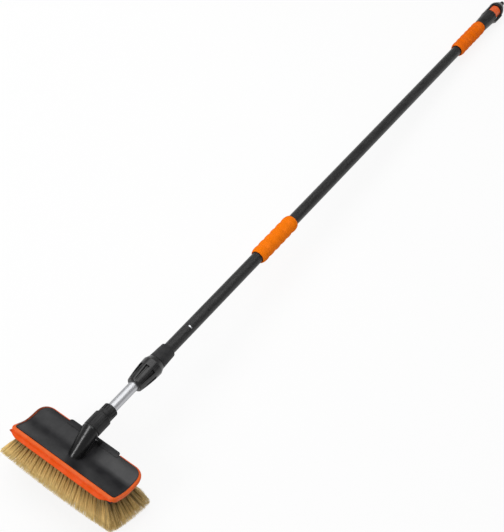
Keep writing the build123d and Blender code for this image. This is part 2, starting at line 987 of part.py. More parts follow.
def drive_pin_rod(radius, low):
    """Radial rod at the drive pin's place."""
    high = valve_ring_radius - drive_pin_inset
    return Pos(0, drive_pin_station, low) * extrude(Circle(radius), high - low)


def drive_pin():
    """Pin that turns the spool with the valve ring."""
    return drive_pin_rod(drive_pin_radius, spool_bore_radius)


def valve_ring():
    """Coloured ring that opens and shuts the water."""
    body = turned(
        [
            (ring_start, core_socket),
            (ring_end, core_socket),
            (ring_end, valve_ring_radius),
            (ring_start, valve_ring_radius),
        ],
        rounds=[(2, valve_ring_edge_round), (3, valve_ring_edge_round)],
    )
    groove = groove_rod(
        ring_start + 2 * valve_ring_edge_round,
        ring_end - 2 * valve_ring_edge_round,
        valve_ring_radius + valve_ring_groove_radius / 2,
        valve_ring_groove_radius,
    )
    body -= around(valve_ring_grooves, groove)
    return body - drive_pin_rod(drive_pin_radius + seat_clearance, 0)


def valve_flange():
    """End cap of the valve, on the core, which carries the nipple."""
    body = turned(
        [
            (flange_start, core_socket),
            (core_end, core_socket),
            (core_end, nipple_seat_radius + seat_clearance),
            (cone_end, nipple_seat_radius + seat_clearance),
            (cone_end, flange_cone_radius),
            (flange_end, flange_radius),
            (flange_start, flange_radius),
        ],
        rounds=[(4, flange_edge_round), (5, flange_edge_round), (6, flange_edge_round)],
    )
    notch = groove_rod(
        flange_start - overrun,
        flange_end + overrun,
        flange_radius + flange_notch_radius - flange_notch_depth,
        flange_notch_radius,
    )
    return body - around(flange_notches, Rot(0, 180 / flange_notches, 0) * notch)


def hose_nipple():
    """Quick connector nipple with a neck, a land, a groove and a rounded tip."""
    groove_start = land_end + 2 * (nipple_ring_minor + seat_clearance)
    groove_floor = nipple_ring_major - nipple_ring_minor - seat_clearance
    return turned(
        [
            (core_end, nipple_bore_radius),
            (nipple_end, nipple_bore_radius),
            (nipple_end, nipple_tip_radius),
            (groove_start, nipple_tip_radius),
            (groove_start, groove_floor),
            (land_end, groove_floor),
            (land_end, nipple_land_radius),
            (land_start, nipple_land_radius),
            (land_start, nipple_neck_radius),
            (cone_end, nipple_neck_radius),
            (cone_end, nipple_seat_radius),
            (core_end, nipple_seat_radius),
        ],
        rounds=[(2, nipple_tip_round)],
    )


def nipple_ring():
    """Rubber ring near the nipple's tip."""
    station = land_end + nipple_ring_minor + seat_clearance
    return seal_ring(station, nipple_ring_major, nipple_ring_minor)


def ground_tilt():
    """Angle in degrees at which the pole slopes down from the head to the valve.

    The head stands on the back edge of its bristle tips, cut flat by the floor cut,
    and the pole's end on the rounded edge of the valve flange.
    """
    lean = radians(neck_angle)
    tip_y = fanned(0, field_middle + half_field_depth)[1] + tip_depth / 2 - neck_setback
    tip_z = tip_level - neck_height
    tip_along = tip_y * cos(lean) + tip_z * sin(lean)
    tip_up = tip_z * cos(lean) - tip_y * sin(lean)
    along = flange_end - flange_edge_round - tip_along
    up = flange_edge_round - flange_radius - tip_up
    return degrees(acos((floor_cut + flange_edge_round) / hypot(along, up)) - atan2(along, up))


head_nodes = {
    "head_shell": head_shell,
    "soft_rim": soft_rim,
    "wiper_lip": wiper_lip,
    "bristle_block": bristle_block,
    "block_gasket": block_gasket,
    "block_screws": block_screws,
    "bristles": bristles,
}
pole_nodes = {
    "neck_ring": neck_ring,
    "neck_collet": neck_collet,
    "coupling_nut": coupling_nut,
    "inner_tube": inner_tube,
    "guide_bush": guide_bush,
    "piston_rings": piston_rings,
    "clamp_nut": clamp_nut,
    "clamp_collet": clamp_collet,
    "clamp_sleeve": clamp_sleeve,
    "outer_tube": outer_tube,
    "stop_rivet": stop_rivet,
    "middle_grip": middle_grip,
    "upper_grip": upper_grip,
    "valve_body": valve_body,
    "valve_seat": valve_seat,
    "valve_spool": valve_spool,
    "spool_rings": spool_rings,
    "drive_pin": drive_pin,
    "valve_ring": valve_ring,
    "valve_flange": valve_flange,
    "hose_nipple": hose_nipple,
    "nipple_ring": nipple_ring,
}


def as_one(shape):
    """A group of solids as one shape."""
    return Compound(shape) if isinstance(shape, list) else shape


def lay_down():
    """All pieces in the row frame, by name."""
    laid = Rot(-ground_tilt(), 0, 0)
    shapes = {name: laid * to_pole(as_one(make())) for name, make in head_nodes.items()}
    shapes |= {name: laid * as_one(make()) for name, make in pole_nodes.items()}
    field = shapes["bristles"].bounding_box()
    ground = field.min.Z + floor_cut
    below = (Align.CENTER, Align.CENTER, Align.MAX)
    slab = Box(2 * field.size.X, 2 * field.size.Y, 2 * floor_cut, align=below)
    shapes["bristles"] -= Pos(field.center().X, field.center().Y, ground) * slab
    middle = Compound(list(shapes.values())).bounding_box().center()
    down = Pos(-middle.X, -middle.Y, -ground)
    return {name: down * shape for name, shape in shapes.items()}


os.makedirs("parts", exist_ok=True)
for name, shape in lay_down().items():
    export_step(shape, f"parts/{name}.step")
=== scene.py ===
import json
from math import cos, pi, radians, sin

import bpy
import numpy as np
from mathutils import Euler, Matrix, Vector


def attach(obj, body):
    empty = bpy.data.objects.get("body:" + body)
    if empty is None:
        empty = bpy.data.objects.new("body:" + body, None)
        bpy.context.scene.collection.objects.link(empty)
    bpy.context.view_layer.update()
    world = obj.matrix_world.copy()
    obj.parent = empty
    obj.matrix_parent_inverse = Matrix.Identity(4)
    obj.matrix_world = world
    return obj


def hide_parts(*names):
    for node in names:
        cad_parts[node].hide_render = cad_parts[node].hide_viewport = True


bl_info = {
    "name": "Car Wash Brush",
    "version": (1, 0, 0),
    "blender": (4, 5, 0),
    "location": "View3D > Sidebar > Wash Brush",
    "description": "Bristles, soft trim, foam grips and finishes for a telescopic car wash brush",
    "category": "Object",
}

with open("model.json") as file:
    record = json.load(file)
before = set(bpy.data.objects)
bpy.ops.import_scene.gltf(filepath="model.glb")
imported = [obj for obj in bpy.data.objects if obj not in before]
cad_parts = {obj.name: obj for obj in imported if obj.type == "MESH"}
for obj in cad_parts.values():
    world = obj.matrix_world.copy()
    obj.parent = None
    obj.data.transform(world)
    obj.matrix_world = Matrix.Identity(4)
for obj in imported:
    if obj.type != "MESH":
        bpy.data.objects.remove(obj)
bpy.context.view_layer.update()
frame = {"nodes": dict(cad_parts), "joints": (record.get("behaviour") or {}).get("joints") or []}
NODES = frame["nodes"]
JOINTS = {joint["name"]: joint for joint in frame["joints"]}

# The pole's own frame: y along the pole from the face of the neck to the valve, z up.
ALONG = Vector(JOINTS["head_turn"]["axis"]).normalized()
ACROSS = Vector((1, 0, 0))
NECK_TO_TUBE = 0.008
NECK_FACE = Vector(JOINTS["head_turn"]["pos_m"]) - ALONG * NECK_TO_TUBE
POLE = Matrix((ACROSS, ALONG, ACROSS.cross(ALONG))).transposed().to_4x4()
POLE.translation = NECK_FACE

# The head's own frame: x along the brush, y from front to back, z up out of the shell.
NECK_ANGLE = radians(26.7)
NECK_PLACE = Vector((0, 0.0663, 0.0406))
HEAD = POLE @ Matrix.Rotation(-NECK_ANGLE, 4, "X") @ Matrix.Translation(-NECK_PLACE)

# Shell's top in the head's frame: a dish, a rise to the back edge, and the boss, which starts
# between two heights over them and ends between two distances from the middle.
DISH_BOTTOM, DISH_DROP = 0.045, 0.0057
BACK_EDGE, BACK_RISE = 0.1, 0.0165
BOSS_RISE = (0.0006, 0.0018)
BOSS_SIDE = (0.019, 0.0195)

# Gloss of dish and back, which change along the brush and meet over the crest, and of the boss.
DISH_SPAN, DISH_GLOSS = (0.02, 0.1), (0.2, 0.09)
BACK_SPAN, BACK_GLOSS = (-0.02, 0.02), (0.27, 0.47)
CREST_SPAN = (0.052, 0.062)
BOSS_GLOSS = 0.42
SHELL_ROUGH, BOSS_ROUGH = 0.34, 0.26

# Sizes of the grain, clouds and smears of moulded plastic.
GRAIN, GRAIN_DEPTH = 0.0007, 0.00004
CLOUD, SMEAR = 0.03, 0.006

# Distances within which points count as on an edge, and as one.
TOUCH, MERGE = 1e-4, 1e-6

# Sections that the bead is rounded from, and the smallest details kept in the soft pieces.
SECTIONS = 50
BEAD_DETAIL, EDGE_DETAIL, LIP_DETAIL = 0.0009, 0.0007, 0.00045

# Slice of backing in the head's frame, its corners at the front and back, and its holes: the
# screws' places and radius, the jets' radius, their spacing in tufts and how many each side.
SLICE_LENGTH, SLICE_DEPTH = 0.2158, 0.0758
SLICE_TOP, SLICE_THICKNESS = -0.02, 0.0024
SLICE_FRONT, SLICE_CORNER = 0.0004, 0.0139
SCREW_REACH, SCREW_ROW, SCREW_HOLE = 0.088, 0.03, 0.0034
JET_HOLE, JET_COLUMNS, JETS_ASIDE = 0.0015, 4, 2

# Steps that spread filaments over a tuft, how far they keep to its edges, and the lengths of a
# filament with the share that each narrows to.
TUFT_STEPS = np.array((0.75488, 0.56984))
TUFT_EDGE = 0.85
FILAMENT_LENGTHS = ((0.34, 0.9), (0.36, 0.9), (0.3, 0.75))

# Chance differences of tufts and filaments, and of the lowest tips' height over the floor.
CLUMP_CHANCE = 0.05
TUFT_TONE, FILAMENT_TONE = 0.1, 0.35
LEAN_CHANCE = (1.0, 1.2)
TIP_STRAY, TIP_UNEVEN = 0.0005, 0.0009
FLOOR_CHANCE = (0.0002, 0.0008)

# Painted shade between tufts: depth, extra at the ends, and how it fades, less at the right end.
GAP_SHADE_DEPTH, END_GAP_SHADE = 1.1, 0.6
GAP_SHADE_FADE, RIGHT_SHADE_FADE = 1.9, 1.3

# Foam: steps along a wave and round the grip, roundness of a wave, and the waves that dent it,
# as turns round the grip, twist along it per metre and start.
WAVE_STEPS, GRIP_STEPS = 12, 72
WAVE_ROUND = 0.7
DENT_WAVES = ((3, 90, 0), (5, -170, 1))

# Place, target and size of each lamp, the floor's size, tones and share of pure white, and the
# height over which the mirrored sky falls off to its strength overhead.
KEY_LAMP = ((-0.8, 0.1, 2.4), (-0.5, 0.1, 0), (2.6, 3.8))
FRONT_LAMP = ((-1.0, -3.0, 1.9), (0, -0.7, 0.1), (0.7, 1.1))
FLOOR_SIZE = 40
PAPER = ((0.86,) * 3, (0.88,) * 3)
FLOOR_GLOW = 0.86
HORIZON = 0.2


def paint(red, green, blue):
    """Colour for a shader from the three numbers, 0 to 255, of a colour as it is seen."""
    seen = [part / 255 for part in (red, green, blue)]
    return tuple(v / 12.92 if v < 0.04045 else ((v + 0.055) / 1.055) ** 2.4 for v in seen)


def metres(name, text, default):
    """A size in metres that the panel shows."""
    kind = {"precision": 5, "unit": "LENGTH"}
    return bpy.props.FloatProperty(name=name, description=text, default=default, **kind)


def plain(name, text, default, unit="NONE"):
    """A plain number that the panel shows."""
    return bpy.props.FloatProperty(name=name, description=text, default=default, unit=unit)


def whole(name, text, default):
    """A whole number that the panel shows."""
    return bpy.props.IntProperty(name=name, description=text, default=default)


def tint(name, text, red, green, blue):
    """A colour that the panel shows."""
    kind = {"subtype": "COLOR", "size": 3, "min": 0, "max": 1, "default": paint(red, green, blue)}
    return bpy.props.FloatVectorProperty(name=name, description=text, **kind)


class BristleSizes(bpy.types.PropertyGroup):
    """Sizes of the bristle field"""

    columns: whole("Columns", "Tufts along the brush", 26)
    rows: whole("Rows", "Tufts across the brush", 7)
    filaments: whole("Filaments", "Filaments in each tuft", 120)
    column_pitch: metres("Column pitch", "Tufts' distance along the brush", 0.008)
    row_pitch: metres("Row pitch", "Tufts' distance across the brush", 0.012)
    middle: metres("Middle", "Setback of the field's middle", 0.049)
    root_level: metres("Root level", "Height of the roots in the head", -0.021)
    tip_level: metres("Tip level", "Height of the tips in the head", -0.058)
    thickness: metres("Thickness", "Thickness of a filament at its root", 0.0009)
    root_width: metres("Root width", "Width of a tuft at its root", 0.0046)
    tip_width: metres("Tip width", "Spread of an end tuft's tips along the brush", 0.0072)
    tip_depth: metres("Tip depth", "Spread of a side tuft's tips across the brush", 0.013)
    end_fan: metres("End fan", "Reach of end tufts past their roots", 0.030)
    side_fan: metres("Side fan", "Reach of side tufts past their roots", 0.032)
    lean_along: metres("Lean along", "Lean of all tips along the brush", 0.009)
    lean_back: metres("Lean back", "Lean of all tips towards the back", 0.012)
    corner_round: metres("Corner round", "Setback of the tips at a corner", 0.004)
    clump: plain("Clump", "Share by which tufts part from each other", 0.06)
    thickening: plain("Thickening", "Share by which end filaments are thicker", 0.6)
    corner_tuck: plain("Corner tuck", "Share by which corner tufts fan out less", 0.15)


class TrimSizes(bpy.types.PropertyGroup):
    """Sizes of the soft trim on the shell"""

    length: metres("Length", "Length of the head", 0.238)
    depth: metres("Depth", "Depth of the head", 0.098)
    front_corner: metres("Front corner", "Radius of the head's front corners", 0.0115)
    back_corner: metres("Back corner", "Radius of the head's back corners", 0.025)
    bead_width: metres("Bead width", "Width of the bead from above", 0.006)
    bead_fall: metres("Bead fall", "Height that the bead rounds down by", 0.0046)
    bead_sink: metres("Bead sink", "Depth of the bead below the shell's edge", 0.0013)
    lip_taper: metres("Lip taper", "Length of the lip's ends", 0.012)
    lip_gap: metres("Lip gap", "Run-out of the lip's left end", 0.005)
    lip_run: metres("Lip run", "Length of the lip's narrow right", 0.03)
    lip_short: metres("Lip short", "Shortfall of the lip's right end", 0.002)
    lip_reach: metres("Lip reach", "Reach of the lip in front of the head", 0.0095)
    groove_width: metres("Groove width", "Width of the groove above the lip", 0.003)
    groove_depth: metres("Groove depth", "Depth of the groove above the lip", 0.0018)
    groove_start: metres("Groove start", "Reach at which the groove starts", 0.0015)
    groove_floor: metres("Groove floor", "Height below which the lip stays", -0.0065)
    groove_fade: metres("Groove fade", "Height over which the groove sets in", 0.0015)
    lip_narrow: plain("Lip narrowing", "Share of its reach lost at the right", 0.6)


class GripSizes(bpy.types.PropertyGroup):
    """Sizes of the foam grips"""

    length: metres("Length", "Length of a grip", 0.128)
    middle_start: metres("Middle grip", "Neck to the middle grip", 0.5224)
    upper_start: metres("Upper grip", "Neck to the upper grip", 1.4064)
    crest: metres("Crest radius", "Radius at the top of a wave", 0.018)
    valley: metres("Valley radius", "Radius between two waves", 0.0162)
    bore: metres("Bore radius", "Radius of the bore round the tube", 0.01256)
    recess_radius: metres("Recess radius", "Radius of the recess at the near end", 0.0142)
    recess_depth: metres("Recess depth", "Depth of the recess at the near end", 0.003)
    end_round: metres("End round", "Rounding of the ends", 0.002)
    waves: whole("Waves", "Waves along a grip", 6)
    dents: metres("Dents", "Depth of the foam's soft unevenness", 0.00025)


class BrushColours(bpy.types.PropertyGroup):
    """Colours of the finishes"""

    shell: tint("Shell", "Grey of the moulded shell", 30, 30, 32)
    boss: tint("Boss", "Black of the glossier neck boss", 14, 14, 15)
    nuts: tint("Nuts", "Black of the moulded nuts and valve", 11, 11, 12)
    sleeve: tint("Sleeve", "Black of the clamp sleeve", 26, 26, 27)
    # The bead's orange is paler than the lip's: painted light, standing for light on its top.
    bead: tint("Bead", "Orange of the bead round the shell", 228, 98, 38)
    lip: tint("Lip", "Orange of the wiper lip", 226, 78, 0)
    middle_grip: tint("Middle grip", "Orange of the middle foam grip", 255, 126, 0)
    upper_grip: tint("Upper grip", "Orange of the upper foam grip", 242, 110, 0)
    valve_ring: tint("Valve ring", "Orange of the valve's turning ring", 236, 98, 30)
    bristle_root: tint("Bristle roots", "Tan of the bristles' roots", 250, 200, 108)
    bristle_tip: tint("Bristle tips", "Tan of the bristles' tips", 255, 226, 152)
    bare_tube: tint("Bare tube", "Grey of the brushed inner tube", 196, 197, 200)
    coated_tube: tint("Coated tube", "Black of the outer tube", 20, 20, 20)


class StageSizes(bpy.types.PropertyGroup):
    """Camera and lamps"""

    lens: plain("Lens", "Focal length", 73.081, "CAMERA")
    camera_place: bpy.props.FloatVectorProperty(
        name="Camera place",
        description="Place of the camera in the pole's frame",
        default=(0.64285, -0.75594, 1.69146),
        unit="LENGTH",
    )
    camera_turn: bpy.props.FloatVectorProperty(
        name="Camera turn",
        description="Turn of the camera in the pole's frame",
        default=(radians(39.258), radians(-6.575), radians(34.989)),
        subtype="EULER",
    )
    key_power: plain("Key lamp", "Power of the large lamp overhead", 54, "POWER")
    front_power: plain("Front lamp", "Power of the lamp before the head", 30, "POWER")
    sky: plain("Sky", "Strength of the even light from all round", 0.4)
    ceiling: plain("Ceiling", "Strength of the mirrored sky overhead", 0.4)


class Recipe:
    """Node tree of one finish, or of the sky."""

    def __init__(self, name, kind="materials", shader="Principled BSDF"):
        self.owner = getattr(bpy.data, kind).new(name)
        self.owner.use_nodes = True
        self.nodes = self.owner.node_tree.nodes
        self.links = self.owner.node_tree.links
        self.shader = self.nodes[shader]
        self.coordinates = self.add("TexCoord").outputs
        self.place = self.coordinates["Object"]

    def feed(self, socket, value):
        """Join an output to a socket, or set the socket's own value."""
        if isinstance(value, bpy.types.NodeSocket):
            self.links.new(value, socket)
        elif socket.type == "RGBA":
            socket.default_value = (*value[:3], 1)
        else:
            socket.default_value = value

    def add(self, kind, inputs=None, **settings):
        """A new shader node with its settings, and its inputs by name or number."""
        node = self.nodes.new("ShaderNode" + kind)
        for name, value in settings.items():
            setattr(node, name, value)
        for name, value in (inputs or {}).items():
            self.feed(node.inputs[name], value)
        return node

    def in_frame(self, matrix, scale=(1, 1, 1)):
        """Coordinates in a frame of the brush, in pattern sizes along its axes."""
        inputs = {"Vector": self.place, "Location": matrix.translation, "Scale": scale}
        inputs["Rotation"] = matrix.to_euler()
        return self.add("Mapping", inputs, vector_type="TEXTURE").outputs["Vector"]

    def noise(self, size=1.0, detail=3.0, place=None, rough=0.55):
        """Cloudy pattern of a size in metres, or in the sizes of a place."""
        inputs = {"Vector": place or self.place, "Scale": 1.0 / size, "Detail": detail}
        inputs["Roughness"] = rough
        return self.add("TexNoise", inputs).outputs["Fac"]

    def streaks(self, across, along, detail=3.0, rough=0.55):
        """Cloudy pattern of one size across the pole and another along it."""
        place = self.in_frame(POLE, (across, along, across))
        return self.noise(detail=detail, place=place, rough=rough)

    def cells(self, size):
        """Distance to the middle of the nearest cell."""
        inputs = {"Vector": self.place, "Scale": 1.0 / size}
        return self.add("TexVoronoi", inputs).outputs["Distance"]

    def attribute(self, name):
        """Number that each vertex of a piece keeps."""
        return self.add("Attribute", attribute_name=name).outputs["Fac"]

    def spread(self, value, low=0.0, high=1.0, start=0.0, end=1.0):
        """Map a value from low..high to start..end, and no further."""
        inputs = {"Value": value, "From Min": low, "From Max": high, "To Min": start, "To Max": end}
        return self.add("MapRange", inputs).outputs["Result"]

    def vary(self, pattern, start=0.0, end=1.0, low=0.3, high=0.7):
        """Let a pattern, most of which lies between low and high, run from start to end."""
        return self.spread(pattern, low, high, start, end)

    def sum(self, first, second, operation="ADD"):
        """Two values put together by a math node."""
        inputs = {0: first, 1: second}
        return self.add("Math", inputs, operation=operation).outputs["Value"]

    def mix(self, share, first, second):
        """Colour between two colours."""
        inputs = {0: share, 6: first, 7: second}
        return self.add("Mix", inputs, data_type="RGBA").outputs[2]

    def toned(self, share, colour, darker, paler):
        """Colour that runs from a darker to a paler tone of itself."""
        return self.mix(share, lighter(colour, -darker), lighter(colour, paler))

    def relief(self, height, depth, under=None):
        """Bump of a depth in metres from a height pattern, over another bump."""
        inputs = {"Height": height, "Distance": depth, "Strength": 1.0}
        if under:
            inputs["Normal"] = under
        return self.add("Bump", inputs).outputs["Normal"]

    def shade(self, **inputs):
        """Set the shader's inputs, whose names have _ for a space, and give the material."""
        for name, value in inputs.items():
            self.feed(self.shader.inputs[name.replace("_", " ")], value)
        return self.owner


def lighter(colour, share):
    """A colour moved towards white, or towards black for a share below zero."""
    target = 1.0 if share > 0 else 0.0
    return tuple(part + (target - part) * abs(share) for part in colour)


def moulded(name, colour, rough, gloss=0.3):
    """Moulded plastic: fine grain, faint clouds in its tone and uneven gloss."""
    recipe = Recipe(name)
    clouds = recipe.vary(recipe.noise(CLOUD, detail=4.0), low=0.35, high=0.68)
    smears = recipe.noise(SMEAR, detail=5.0)
    return recipe.shade(
        Base_Color=recipe.toned(clouds, colour, darker=0.12, paler=0.03),
        Roughness=recipe.vary(smears, start=rough - 0.07, end=rough + 0.09),
        Specular_IOR_Level=gloss,
        Normal=recipe.relief(recipe.noise(GRAIN, detail=2.0), GRAIN_DEPTH),
    )


def shell_finish(colour, boss):
    """Matt grained shell whose neck boss and back tab are blacker and glossier."""
    recipe = Recipe("Shell plastic")
    split = recipe.add("SeparateXYZ", {"Vector": recipe.in_frame(HEAD)})
    x, y, z = (split.outputs[axis] for axis in "XYZ")
    fall = recipe.spread(y, high=DISH_BOTTOM, end=-DISH_DROP)
    top = recipe.sum(fall, recipe.spread(y, DISH_BOTTOM, BACK_EDGE, end=BACK_RISE))
    above = recipe.spread(recipe.sum(z, top, "SUBTRACT"), *BOSS_RISE)
    side = recipe.add("Math", {0: x}, operation="ABSOLUTE").outputs["Value"]
    is_boss = recipe.sum(above, recipe.spread(side, *BOSS_SIDE, start=1.0, end=0.0), "MULTIPLY")
    dish_gloss = recipe.spread(x, *DISH_SPAN, *DISH_GLOSS)
    back_gloss = recipe.spread(x, *BACK_SPAN, *BACK_GLOSS)
    shell_gloss = recipe.spread(y, *CREST_SPAN, dish_gloss, back_gloss)
    clouds = recipe.vary(recipe.noise(CLOUD, detail=4.0), low=0.35, high=0.68)
    smears = recipe.vary(recipe.noise(SMEAR, detail=5.0), start=-0.04, end=0.05)
    base = recipe.toned(clouds, colour, darker=0.06, paler=0.015)
    rough = recipe.spread(is_boss, start=SHELL_ROUGH, end=BOSS_ROUGH)
    return recipe.shade(
        Base_Color=recipe.mix(is_boss, base, boss),
        Roughness=recipe.sum(rough, smears),
        Specular_IOR_Level=recipe.spread(is_boss, start=shell_gloss, end=BOSS_GLOSS),
        Normal=recipe.relief(recipe.noise(GRAIN, detail=2.0), GRAIN_DEPTH),
    )


def scuffed(name, colour, rough, gloss=0.28):
    """Moulded plastic that hands and car parks have rubbed along the pole."""
    recipe = Recipe(name)
    clouds = recipe.vary(recipe.noise(size=0.022, detail=4.0))
    rubs = recipe.streaks(across=0.0016, along=0.02, detail=6.0)
    marks = recipe.spread(rubs, low=0.56, high=0.74, end=0.55)
    body = recipe.toned(clouds, colour, darker=0.15, paler=0.02)
    return recipe.shade(
        Base_Color=recipe.mix(marks, body, lighter(colour, 0.04)),
        Roughness=recipe.vary(rubs, start=rough - 0.06, end=rough + 0.14, low=0.35),
        Specular_IOR_Level=gloss,
        Normal=recipe.relief(recipe.noise(size=0.0005, detail=2.0), depth=0.00003),
    )


def brushed(name, colour):
    """Bare metal tube, brushed along its length."""
    recipe = Recipe(name)
    lines = recipe.streaks(across=0.0005, along=0.09, detail=4.0, rough=0.7)
    wide = recipe.streaks(across=0.004, along=0.25)
    share = recipe.sum(recipe.vary(lines, end=0.7), recipe.vary(wide, end=0.3))
    return recipe.shade(
        Base_Color=recipe.toned(share, colour, darker=0.12, paler=0.12),
        Metallic=1.0,
        Specular_Tint=(0.3, 0.3, 0.31),
        Roughness=recipe.vary(lines, start=0.32, end=0.52, low=0.25, high=0.75),
        Normal=recipe.relief(lines, depth=0.00003),
    )


def coated(name, colour):
    """Black coating on a drawn tube, which keeps streaks and pits along its length."""
    recipe = Recipe(name)
    streaks = recipe.streaks(across=0.0007, along=0.05, detail=5.0, rough=0.7)
    pits = recipe.streaks(across=0.0008, along=0.004, detail=4.0, rough=0.6)
    marks = recipe.spread(recipe.sum(streaks, pits, "MULTIPLY"), low=0.2, high=0.42)
    return recipe.shade(
        Base_Color=recipe.toned(marks, colour, darker=0.3, paler=0.05),
        Roughness=recipe.vary(streaks, start=0.32, end=0.48),
        Specular_IOR_Level=0.34,
        Normal=recipe.relief(recipe.sum(streaks, pits), depth=0.00006),
    )


def foamed(name, colour):
    """Closed-cell foam with its open pores, which are darker with painted shade."""
    recipe = Recipe(name)
    pores = recipe.sum(recipe.cells(size=0.0011), recipe.noise(size=0.0005), "MULTIPLY")
    clouds = recipe.vary(recipe.noise(size=0.018, detail=4.0))
    base = recipe.toned(clouds, colour, darker=0.1, paler=0.02)
    # Painted shade: the pores, hollows in the bump, take the darker colour.
    unshaded_walls = recipe.spread(pores, low=0.1, high=0.42)
    return recipe.shade(
        Base_Color=recipe.mix(unshaded_walls, lighter(colour, -0.22), base),
        Roughness=recipe.spread(clouds, start=0.72, end=0.86),
        Specular_IOR_Level=0.05,
        Normal=recipe.relief(pores, depth=0.00025),
    )


def rubber(name, colour, with_painted_shade=False):
    """Soft rubber with dust and the ripple of its mould, darkened by painted shade where its
    attribute for it says.
    """
    recipe = Recipe(name)
    clouds = recipe.vary(recipe.noise(size=0.012, detail=5.0), low=0.4, high=0.72)
    base = recipe.toned(clouds, colour, darker=0.05, paler=0.02)
    ripple = recipe.noise(size=0.004)
    relief = recipe.relief(ripple, depth=0.00012)
    # Painted shade, dappled, darkens the rubber where the piece's attribute for it is high.
    if with_painted_shade:
        dapple = recipe.noise(size=0.002, detail=4.0)
        dappled_shade = recipe.sum(recipe.attribute("painted_shade"), dapple, "MULTIPLY")
        painted_shade_share = recipe.spread(dappled_shade, low=0.05, high=0.4, end=0.9)
        base = recipe.mix(painted_shade_share, base, lighter(colour, -0.88))
        rough = recipe.vary(ripple, start=0.42, end=0.56)
    else:
        grain = recipe.noise(size=0.0004, detail=2.0)
        relief = recipe.relief(grain, depth=0.00002, under=relief)
        rough = recipe.vary(ripple, start=0.44, end=0.6)
    return recipe.shade(Base_Color=base, Roughness=rough, Specular_IOR_Level=0.12, Normal=relief)


def fibrous(name, root, tip):
    """Bristle fibre: paler towards its tips, each filament and tuft a little different, and darker
    where painted shade lies between tufts.
    """
    recipe = Recipe(name)
    tone = recipe.attribute("tone")
    height = recipe.sum(recipe.attribute("grade"), recipe.spread(tone, start=-0.25, end=0.25))
    body = recipe.mix(recipe.spread(height), root, tip)
    # Low tone darkens the fibre: chance streaks, and the painted shade between tufts.
    streaks_and_gap_shade = recipe.spread(tone, low=-0.6, high=0.4, start=0.92, end=0.0)
    streaked_and_shaded = recipe.mix(streaks_and_gap_shade, body, lighter(root, -0.8))
    flecks = recipe.noise(size=0.0012)
    return recipe.shade(
        Base_Color=recipe.mix(recipe.vary(flecks, end=0.3), streaked_and_shaded, lighter(tip, 0.1)),
        Roughness=recipe.vary(flecks, start=0.42, end=0.6),
        Specular_IOR_Level=0.3,
    )


def polished(name, colour, rough, metallic=1.0):
    """Small metal or ceramic part with turning marks and a soft polish."""
    recipe = Recipe(name)
    turning = recipe.streaks(across=0.01, along=0.0003)
    stains = recipe.vary(recipe.noise(size=0.003, detail=4.0), low=0.35)
    return recipe.shade(
        Base_Color=recipe.mix(stains, colour, lighter(colour, -0.14)),
        Metallic=metallic,
        Roughness=recipe.vary(turning, start=rough - 0.06, end=rough + 0.12),
        Normal=recipe.relief(turning, depth=0.00002),
    )


def dress(**finishes):
    """Give CAD nodes their finishes."""
    for node, material in finishes.items():
        for slot in NODES[node].material_slots:
            slot.material = material


def keep(piece, title, values):
    """Keep a number for each vertex in the piece, for its material to read."""
    attribute = piece.data.attributes.new(title, "FLOAT", "POINT")
    attribute.data.foreach_set("value", values.astype(np.float32))


def edit(action="SELECT"):
    """Enter edit mode, with everything selected or deselected."""
    bpy.ops.object.mode_set(mode="EDIT")
    bpy.ops.mesh.select_all(action=action)


def leave():
    """Leave edit mode."""
    bpy.ops.object.mode_set(mode="OBJECT")


def clear_selection():
    """Leave edit mode and deselect everything."""
    if bpy.context.object and bpy.context.object.mode != "OBJECT":
        leave()
    bpy.ops.object.select_all(action="DESELECT")


def pick(piece):
    """Make one object the only selected and the active one."""
    clear_selection()
    piece.select_set(True)
    bpy.context.view_layer.objects.active = piece


def points_of(piece):
    """The vertices' places as an array."""
    flat = np.empty(len(piece.data.vertices) * 3)
    piece.data.vertices.foreach_get("co", flat)
    return flat.reshape(-1, 3)


def set_points(piece, points):
    """Put the vertices at the places of an array."""
    piece.data.vertices.foreach_set("co", np.asarray(points, float).ravel())
    piece.data.update()


def moved(points, matrix):
    """Places taken through a matrix."""
    turn = np.array(matrix.to_3x3())
    return points @ turn.T + np.array(matrix.translation)


def carry(piece, matrix):
    """Take a piece's vertices through a matrix."""
    set_points(piece, moved(points_of(piece), matrix))


def apply_modifier(piece, kind, **settings):
    """Add a modifier, set it and apply it."""
    pick(piece)
    modifier = piece.modifiers.new(kind.title(), kind)
    for name, value in settings.items():
        setattr(modifier, name, value)
    bpy.ops.object.modifier_apply(modifier=modifier.name)


def tidy_mesh(piece):
    """Merge doubled vertices and turn all faces outwards."""
    pick(piece)
    edit()
    bpy.ops.mesh.remove_doubles(threshold=MERGE)
    bpy.ops.mesh.normals_make_consistent(inside=False)
    leave()


def smooth_shade(piece, angle=35):
    """Smooth shading, with edges sharper than an angle kept."""
    pick(piece)
    bpy.ops.object.shade_smooth_by_angle(angle=radians(angle))


def fit_out(piece, body, material, slot, *nodes):
    """Give a finished piece its material and its body, and hide the CAD nodes that it stands for.
    """
    piece.data.materials.clear()
    piece.data.materials.append(material)
    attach(piece, body)
    if nodes:
        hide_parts(*nodes)


def duplicate(piece):
    """A copy of an object with its own mesh."""
    copy = piece.copy()
    copy.data = piece.data.copy()
    bpy.context.scene.collection.objects.link(copy)
    return copy


def soft_copy(node, name, detail, passes, cutter=None, operation="DIFFERENCE"):
    """Rounded soft piece from a merged copy of a CAD node, or from what a cutter leaves."""
    piece = duplicate(NODES[node])
    piece.name = name
    for key in list(piece.keys()):
        del piece[key]
    piece.parent = None
    piece.matrix_world = Matrix.Identity(4)
    tidy_mesh(piece)
    if cutter:
        apply_modifier(piece, "BOOLEAN", object=cutter, operation=operation, solver="EXACT")
    apply_modifier(piece, "REMESH", mode="VOXEL", voxel_size=detail)
    apply_modifier(piece, "SMOOTH", factor=0.5, iterations=passes)
    pick(piece)
    bpy.ops.object.shade_smooth()
    return piece


